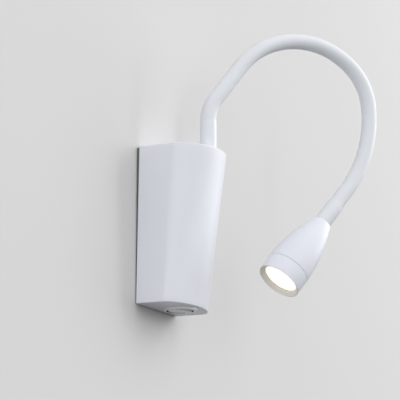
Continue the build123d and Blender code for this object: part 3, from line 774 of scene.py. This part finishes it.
def housing_mesh():
    """The housing: an open-backed shell with rounded rims."""
    size = sizes()
    top = size.housing_height / 2
    edge = size.housing_edge
    wall = 0.002
    edge_steps, side_steps = 6, 16
    build = bmesh.new()
    # heights and insets of the outer rings, from the bottom upwards
    lower = []
    for step in range(edge_steps + 1):
        angle = math.pi / 2 * step / edge_steps
        lower.append((-top + edge * (1 - math.cos(angle)), edge * (1 - math.sin(angle))))
    middle = []
    for step in range(1, side_steps):
        middle.append((-top + edge + (2 * top - 2 * edge) * step / side_steps, 0.0))
    upper = [(-z, inset) for z, inset in reversed(lower)]
    outer = [housing_ring(build, z, inset) for z, inset in lower + middle + upper]
    inner = [housing_ring(build, z, wall) for z in (-top + wall, top - wall)]
    for shell in (outer, inner):
        for low, high in zip(shell, shell[1:]):
            for left in range(len(low) - 1):
                build.faces.new((low[left], low[left + 1], high[left + 1], high[left]))
    for ring in (outer[0], outer[-1], inner[0], inner[-1]):
        build.faces.new(ring)
    build.faces.new([ring[0] for ring in outer] + [ring[0] for ring in reversed(inner)])
    build.faces.new([ring[-1] for ring in outer] + [ring[-1] for ring in reversed(inner)])
    for outer_ring, inner_ring in ((outer[0], inner[0]), (outer[-1], inner[-1])):
        build.faces.new((outer_ring[0], outer_ring[-1], inner_ring[-1], inner_ring[0]))
    bmesh.ops.recalc_face_normals(build, faces=build.faces)
    mesh = bpy.data.meshes.new("housing_shell")
    build.to_mesh(mesh)
    build.free()
    return mesh


# ------------------------------------------------------------------ the switch's rocker


def paddle_half(radius, side, face_way):
    """Half of the paddle: a ball cut flat at the back, along its face and at the ridge."""
    back, face = 0.0025, -0.0036  # heights above the pivot
    half = bmesh.new()
    bmesh.ops.create_uvsphere(half, u_segments=96, v_segments=64, radius=radius)
    cuts = (
        (Vector((0, 0, back)), Vector((0, 0, 1)), True),
        (Vector((0, 0, face)), face_way, True),
        (Vector((0, 0, 0)), Vector((0, -side, 0)), False),
    )
    for spot, way, filled in cuts:
        cut = bmesh.ops.bisect_plane(
            half,
            geom=half.verts[:] + half.edges[:] + half.faces[:],
            plane_co=spot,
            plane_no=way,
            clear_outer=True,
        )
        if filled:
            rim = [item for item in cut["geom_cut"] if isinstance(item, bmesh.types.BMEdge)]
            bmesh.ops.edgeloop_fill(half, edges=rim)
    mesh = bpy.data.meshes.new("paddle_half")
    half.to_mesh(mesh)
    half.free()
    return mesh


def rocker_mesh():
    """The rocker: a ball cut to a two-faced paddle, with its edges eased and its pivot pins."""
    radius = 0.0101
    tilt = math.radians(16.0)
    ridge_gap = 2e-6  # the halves' vertices are closer than this along the ridge
    corner = math.radians(25)  # edges sharper than this are eased
    easing = 0.0005
    pin_radius, pin_length, pin_middle = 0.0012, 0.0016, 0.0110
    pivot_height = -0.0626
    flat_way = Vector((0, 0, -1))
    proud_way = Vector((0, math.sin(tilt), -math.cos(tilt)))
    build = bmesh.new()
    for side, face_way in ((1, flat_way), (-1, proud_way)):
        half = paddle_half(radius, side, face_way)
        build.from_mesh(half)
        bpy.data.meshes.remove(half)
    bmesh.ops.remove_doubles(build, verts=build.verts, dist=ridge_gap)
    sharp = []
    for edge in build.edges:
        if len(edge.link_faces) == 2 and edge.calc_face_angle(0) > corner:
            sharp.append(edge)
    bmesh.ops.bevel(
        build,
        geom=sharp,
        offset=easing,
        segments=3,
        profile=0.5,
        affect="EDGES",
        clamp_overlap=True,
    )
    sideways = Matrix.Rotation(math.pi / 2, 4, "Y")
    for side in (-1, 1):
        bmesh.ops.create_cone(
            build,
            cap_ends=True,
            segments=24,
            radius1=pin_radius,
            radius2=pin_radius,
            depth=pin_length,
            matrix=Matrix.Translation((side * pin_middle, 0, 0)) @ sideways,
        )
    pivot = Vector((0, -sizes().switch_from_wall, pivot_height))
    bmesh.ops.translate(build, verts=build.verts, vec=pivot)
    bmesh.ops.recalc_face_normals(build, faces=build.faces)
    mesh = bpy.data.meshes.new("round_rocker")
    build.to_mesh(mesh)
    build.free()
    return mesh


# ------------------------------------------------------------------ the stage's values

# Each light's name, place, size and power in watts. All of them face one spot of the lamp.
LIGHTS = (
    ("key", (3.3, -2.3, 1.35), (2.7, 2.7), 90.0),
    ("front", (2.1, -3.3, 1.5), (2.6, 2.6), 23.0),
    ("left", (-1.25, -3.0, 1.6), (2.7, 2.7), 14.0),
    ("above", (0.3, -1.8, 3.2), (2.0, 2.0), 7.0),
    ("side", (-2.6, -0.75, 0.05), (1.1, 2.2), 15.5),
    ("strip", (-1.97, -2.26, 0.1), (0.12, 2.2), 10.0),
)
LIT_SPOT = (0.02, -0.05, 0.02)

# Strengths of the world below and above the horizon, and as the camera sees it.
WORLD_BELOW = 0.18
WORLD_ABOVE = 0.81
WORLD_SEEN = 0.72
HORIZON_BAND = 0.15  # sine of the angle to either side of the horizon in which they blend

# Shares of their colour that the wall and the floor throw back on the lamp.
WALL_BOUNCE = 0.85
FLOOR_BOUNCE = 0.15

CAMERA_PLACE = (-1.0867, -0.5226, -0.2493)
CAMERA_TURN = 65.99  # degrees from +Y towards +X
CAMERA_CLIMB = 12.94  # degrees above the horizontal
CAMERA_LENS = 135.0


# ------------------------------------------------------------------ operators


class LAMP_OT_housing(bpy.types.Operator):
    """Builds the painted housing."""

    bl_idname = "lamp.housing"
    bl_label = "Build the housing"

    def execute(self, context):
        piece = keep_piece("housing_shell", housing_mesh(), [finish_of("paint")], smooth_angle=30.0)
        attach(piece, "wall_unit")
        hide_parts("housing")
        return {"FINISHED"}


class LAMP_OT_collars(bpy.types.Operator):
    """Builds the collars at both ends of the neck."""

    bl_idname = "lamp.collars"
    bl_label = "Build the collars"

    def execute(self, context):
        size = sizes()
        # radii of the threaded tails, the core's hole and the lead's hole, and the socket's depth
        tail, core_hole, lead_hole, socket = 5.0, 4.45, 2.5, 18.0
        foot = upright_frame(0, -size.neck_from_wall, size.housing_height / 2)
        outside, tail_length = 6.8, 14.0
        height = size.collar_height / MM
        lower = turned(
            "lower_collar",
            [
                (outside, 0.0, 0.25, 0),
                (outside, height, 0.7, 0),
                (core_hole, height, 0.0, 0),
                (core_hole, height - socket, 0.0, 0),
                (lead_hole, height - socket, 0.0, 0),
                (lead_hole, -tail_length, 0.0, 0),
                (tail, -tail_length, 0.5, 0),
                (tail, 0.0, 0.0, 0),
            ],
            foot,
            [finish_of("collar")],
        )
        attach(lower, "wall_unit")
        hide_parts("base_collar")
        outside, tail_length = 7.2, 13.0
        length = size.end_collar_length / MM
        upper = turned(
            "head_end_collar",
            [
                (outside, -length, 0.6, 0),
                (outside, 0.0, 0.5, 0),
                (tail, 0.0, 0.0, 0),
                (tail, tail_length, 0.5, 0),
                (lead_hole, tail_length, 0.0, 0),
                (lead_hole, socket - length, 0.0, 0),
                (core_hole, socket - length, 0.0, 0),
                (core_hole, -length, 0.0, 0),
            ],
            head_frame(),
            [finish_of("collar")],
        )
        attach(upper, "head")
        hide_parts("head_collar")
        return {"FINISHED"}


class LAMP_OT_sleeve(bpy.types.Operator):
    """Builds the sleeve of the neck, one run to each joint."""

    bl_idname = "lamp.sleeve"
    bl_label = "Build the sleeve"

    def execute(self, context):
        size = sizes()
        tree = sleeve_tree()
        stations = neck_stations()
        for number, (point, heading, length, turn) in enumerate(stations[:-1], start=1):
            curve = run_curve(f"sleeve_line_{number}", point, heading, length, turn)
            piece = through_tree(
                curve,
                tree,
                f"sleeve_run_{number}",
                (point, stations[number][0]),
                Radius=size.sleeve_radius,
                Wall=size.sleeve_wall,
                Sides=size.sleeve_sides,
                Finish=finish_of("sleeve"),
            )
            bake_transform(piece)
            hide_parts(f"neck_sleeve_{number}")
        return {"FINISHED"}


class LAMP_OT_head(bpy.types.Operator):
    """Builds the shell and the front ring of the head."""

    bl_idname = "lamp.head"
    bl_label = "Build the head"

    def execute(self, context):
        # radii, and distances from the head's rear
        widest, rear, seam, wall = 18.9, 7.8, 55.0, 2.0
        tail_hole, rear_wall, rear_round = 5.05, 9.0, 1.6
        spigot, bore, mouth = 16.85, 15.05, 60.0
        ledge, ledge_back, ledge_front = 13.5, 35.0, 37.0
        bow = (seam**2 + (widest - rear) ** 2) / (2 * (widest - rear))

        def ogive(along):
            """Radius of the bullet shape, an arc that runs straight at the seam."""
            return widest - bow + math.sqrt(bow**2 - (seam - along) ** 2)

        outline = [(tail_hole, 0.0, 0.0, 0), (ogive(0.0) - rear_round, 0.0, 0.0, 0)]
        steps = 8
        for step in range(1, steps):
            angle = math.pi / 2 * step / steps
            edge = rear_round * (1 - math.cos(angle))
            outline.append((ogive(edge) - rear_round * (1 - math.sin(angle)), edge, 0.0, 0))
        for along in (rear_round, 3, 5, 7.5, *range(10, 55, 3)):
            outline.append((ogive(along), along, 0.0, 0))
        outline += [
            (widest, seam, 0.15, 0),
            (spigot, seam, 0.0, 0),
            (spigot, mouth, 0.0, 0),
            (bore, mouth, 0.0, 0),
            (bore, ledge_front, 0.0, 0),
            (ledge, ledge_front, 0.0, 0),
            (ledge, ledge_back, 0.0, 0),
        ]
        for along in (ledge_back, 28.0, 22.0, 15.0, rear_wall):
            outline.append((ogive(along) - wall, along, 0.0, 0))
        outline.append((tail_hole, rear_wall, 0.0, 0))
        shell = turned("head_body", outline, head_frame(), [finish_of("paint")], smooth_angle=28.0)
        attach(shell, "head")
        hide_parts("head_shell")
        ring_back, ring_front, ring_bore = 55.3, 69.0, 16.9
        face_outside, face_inside = 18.6, 17.9
        lip, lip_back, lip_front = 15.0, 65.8, 66.4
        ring = turned(
            "front_ring",
            [
                (ring_bore, ring_back, 0.0, 0),
                (widest, ring_back, 0.15, 0),
                (face_outside, ring_front, 0.35, 0),
                # From the front face inwards the ring takes the rim colour, the painted warm light
                # of the lit front.
                (face_inside, ring_front, 0.2, 1),
                (lip, lip_front, 0.2, 1),
                (lip, lip_back, 0.0, 1),
                (ring_bore, lip_back, 0.0, 0),
            ],
            head_frame(),
            [finish_of("paint"), finish_of("rim")],
        )
        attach(ring, "head")
        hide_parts("bezel_ring")
        return {"FINISHED"}


class LAMP_OT_switch(bpy.types.Operator):
    """Builds the round rocker switch in the underside."""

    bl_idname = "lamp.switch"
    bl_label = "Build the switch"

    def execute(self, context):
        # radii, and heights above the housing's underside
        barrel, depth, well, well_floor = 12.3, 21.0, 10.7, 7.3
        flange, face = 14.0, -2.2
        middle = upright_frame(0, -sizes().switch_from_wall, -sizes().housing_height / 2)
        body = turned(
            "switch_bezel",
            [
                (barrel, 0.0, 0.0, 0),
                (barrel, depth, 1.0, 0),
                (0.0, depth, 0.0, 0),
                # The well's floor and wall take the black finish as painted shade: it stands for the
                # dark gap round the rocker.
                (0.0, well_floor, 0.0, 1),
                (well, well_floor, 0.3, 1),
                (well, face, 0.35, 0),
                (flange, face, 1.0, 0),
                (flange, 0.0, 0.15, 0),
            ],
            middle,
            [finish_of("switch"), finish_of("black")],
        )
        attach(body, "wall_unit")
        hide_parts("switch_body")
        plastic = [finish_of("switch")]
        rocker = keep_piece("round_rocker", rocker_mesh(), plastic, smooth_angle=32.0)
        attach(rocker, "switch_rocker")
        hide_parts("switch_rocker")
        return {"FINISHED"}


class LAMP_OT_fittings(bpy.types.Operator):
    """Gives the carried-over solids their finishes."""

    bl_idname = "lamp.fittings"
    bl_label = "Finish the fittings"

    def execute(self, context):
        looks = {
            "steel": [
                "wall_bracket",
                "housing_screws",
                "lock_washer",
                "neck_nut",
                "head_nut",
                "board_screws",
                *(f"neck_core_{link}" for link in range(10)),
            ],
            "foam": ["back_gasket"],
            "black": ["cable_grommet", "lens_gasket"],
            "grey": ["driver_case"],
            "pad": ["driver_tape", "thermal_pad"],
            "white_plastic": ["terminal_block"],
            "brass": ["terminal_screws", "switch_tabs"],
            "brown": ["live_lead", "switched_lead"],
            "blue": ["neutral_lead"],
            "white_lead": [f"neck_lead_{link}" for link in range(10)],
            "aluminium": ["heat_sink"],
            "board": ["led_board"],
            "chip": ["led_chip"],
            "clear": ["lens"],
            "light": ["diffuser"],
        }
        for look, names in looks.items():
            for name in names:
                node = NODES[name]
                material = finish_of(look)
                if not node.material_slots:
                    node.data.materials.append(material)
                for socket in node.material_slots:
                    socket.material = material
        return {"FINISHED"}


class LAMP_OT_stage(bpy.types.Operator):
    """Sets the wall, the floor, the lights and the camera."""

    bl_idname = "lamp.stage"
    bl_label = "Set the stage"

    def execute(self, context):
        scene = context.scene
        scene.view_settings.view_transform = "Standard"
        side, back, low, high = 3, 0.0006, -0.9, 2.5
        wall = [(-side, back, low), (side, back, low), (side, back, high), (-side, back, high)]
        floor = [(-side, -side, low), (side, -side, low), (side, back, low), (-side, back, low)]
        self.backdrop("wall_backdrop", wall, finishes().wall, WALL_BOUNCE)
        self.backdrop("floor", floor, finishes().wall, FLOOR_BOUNCE)
        self.lights(scene)
        self.camera(scene)
        return {"FINISHED"}

    def backdrop(self, name, corners, colour, bounce):
        """A plain plane, clear from behind. The bounce is the share of colour that the lamp gets."""
        mesh = bpy.data.meshes.new(name)
        mesh.from_pydata(corners, [], [(0, 1, 2, 3)])
        material = bpy.data.materials.new(name)
        material.use_nodes = True
        tree = material.node_tree
        surface = tree.nodes["Principled BSDF"]
        seen = tree.nodes.new("ShaderNodeLightPath")
        tone = tree.nodes.new("ShaderNodeMix")
        tone.data_type = "RGBA"
        tone.inputs["A"].default_value = shade(colour, bounce)
        tone.inputs["B"].default_value = shade(colour, 1.0)
        tree.links.new(seen.outputs["Is Camera Ray"], tone.inputs["Factor"])
        tree.links.new(tone.outputs["Result"], surface.inputs["Base Color"])
        surface.inputs["Roughness"].default_value = 0.9
        surface.inputs["Specular IOR Level"].default_value = 0.1
        behind = tree.nodes.new("ShaderNodeNewGeometry")
        clear = tree.nodes.new("ShaderNodeBsdfTransparent")
        either = tree.nodes.new("ShaderNodeMixShader")
        tree.links.new(behind.outputs["Backfacing"], either.inputs["Fac"])
        tree.links.new(surface.outputs["BSDF"], either.inputs[1])
        tree.links.new(clear.outputs["BSDF"], either.inputs[2])
        tree.links.new(either.outputs["Shader"], tree.nodes["Material Output"].inputs["Surface"])
        mesh.materials.append(material)
        piece = bpy.data.objects.new(name, mesh)
        bpy.context.scene.collection.objects.link(piece)

    def lights(self, scene):
        """The six soft lights, and a world that is darker below than above."""
        for name, place, size, power in LIGHTS:
            data = bpy.data.lights.new(name, "AREA")
            data.shape = "RECTANGLE"
            data.size, data.size_y = size
            data.energy = power
            lamp = bpy.data.objects.new(name, data)
            lamp.location = place
            aim = Vector(LIT_SPOT) - Vector(place)
            lamp.rotation_euler = aim.to_track_quat("-Z", "Y").to_euler()
            scene.collection.objects.link(lamp)
        world = bpy.data.worlds.new("studio")
        scene.world = world
        world.use_nodes = True
        tree = world.node_tree
        sky = tree.nodes["Background"]
        sky.inputs["Color"].default_value = (1.0, 1.0, 1.0, 1.0)
        place = tree.nodes.new("ShaderNodeTexCoord")
        split = tree.nodes.new("ShaderNodeSeparateXYZ")
        fall = tree.nodes.new("ShaderNodeMapRange")
        fall.inputs["From Min"].default_value = -HORIZON_BAND
        fall.inputs["From Max"].default_value = HORIZON_BAND
        fall.inputs["To Min"].default_value = WORLD_BELOW
        fall.inputs["To Max"].default_value = WORLD_ABOVE
        tree.links.new(place.outputs["Generated"], split.inputs["Vector"])
        tree.links.new(split.outputs["Z"], fall.inputs["Value"])
        seen = tree.nodes.new("ShaderNodeLightPath")
        plain = tree.nodes.new("ShaderNodeMix")
        plain.inputs["B"].default_value = WORLD_SEEN
        tree.links.new(seen.outputs["Is Camera Ray"], plain.inputs["Factor"])
        tree.links.new(fall.outputs["Result"], plain.inputs["A"])
        tree.links.new(plain.outputs["Result"], sky.inputs["Strength"])

    def camera(self, scene):
        """The camera, turned from +Y round Z and raised, with no roll."""
        data = bpy.data.cameras.new("camera")
        data.lens = CAMERA_LENS
        data.sensor_width = 36.0
        data.clip_start = 0.05
        eye = bpy.data.objects.new("camera", data)
        turn, climb = math.radians(CAMERA_TURN), math.radians(CAMERA_CLIMB)
        ahead = Vector(
            (math.sin(turn) * math.cos(climb), math.cos(turn) * math.cos(climb), math.sin(climb))
        )
        right = Vector((math.cos(turn), -math.sin(turn), 0))
        above = right.cross(ahead)
        place = Matrix((right, above, -ahead)).transposed().to_4x4()
        place.translation = Vector(CAMERA_PLACE)
        eye.matrix_world = place
        scene.collection.objects.link(eye)
        scene.camera = eye


class LAMP_PT_panel(bpy.types.Panel):
    """Lists the lamp's sizes, colours and building steps."""

    bl_idname = "LAMP_PT_panel"
    bl_label = "Reading lamp"
    bl_space_type = "VIEW_3D"
    bl_region_type = "UI"
    bl_category = "Reading lamp"

    def draw(self, context):
        layout = self.layout
        for group in (context.scene.lamp_sizes, context.scene.lamp_finishes):
            box = layout.box()
            for name in group.__annotations__:
                box.prop(group, name)
        for step in STEPS:
            layout.operator(step.bl_idname)


STEPS = (
    LAMP_OT_stage,
    LAMP_OT_housing,
    LAMP_OT_collars,
    LAMP_OT_sleeve,
    LAMP_OT_head,
    LAMP_OT_switch,
    LAMP_OT_fittings,
)
CLASSES = (LampSizes, LampFinishes) + STEPS + (LAMP_PT_panel,)


def register():
    for item in CLASSES:
        bpy.utils.register_class(item)
    bpy.types.Scene.lamp_sizes = PointerProperty(type=LampSizes)
    bpy.types.Scene.lamp_finishes = PointerProperty(type=LampFinishes)


def unregister():
    del bpy.types.Scene.lamp_finishes
    del bpy.types.Scene.lamp_sizes
    for item in reversed(CLASSES):
        bpy.utils.unregister_class(item)


def main():
    """Builds the lamp."""
    register()
    bpy.ops.lamp.stage()
    bpy.ops.lamp.housing()
    bpy.ops.lamp.collars()
    bpy.ops.lamp.sleeve()
    bpy.ops.lamp.head()
    bpy.ops.lamp.switch()
    bpy.ops.lamp.fittings()


if __name__ == "__main__":
    main()
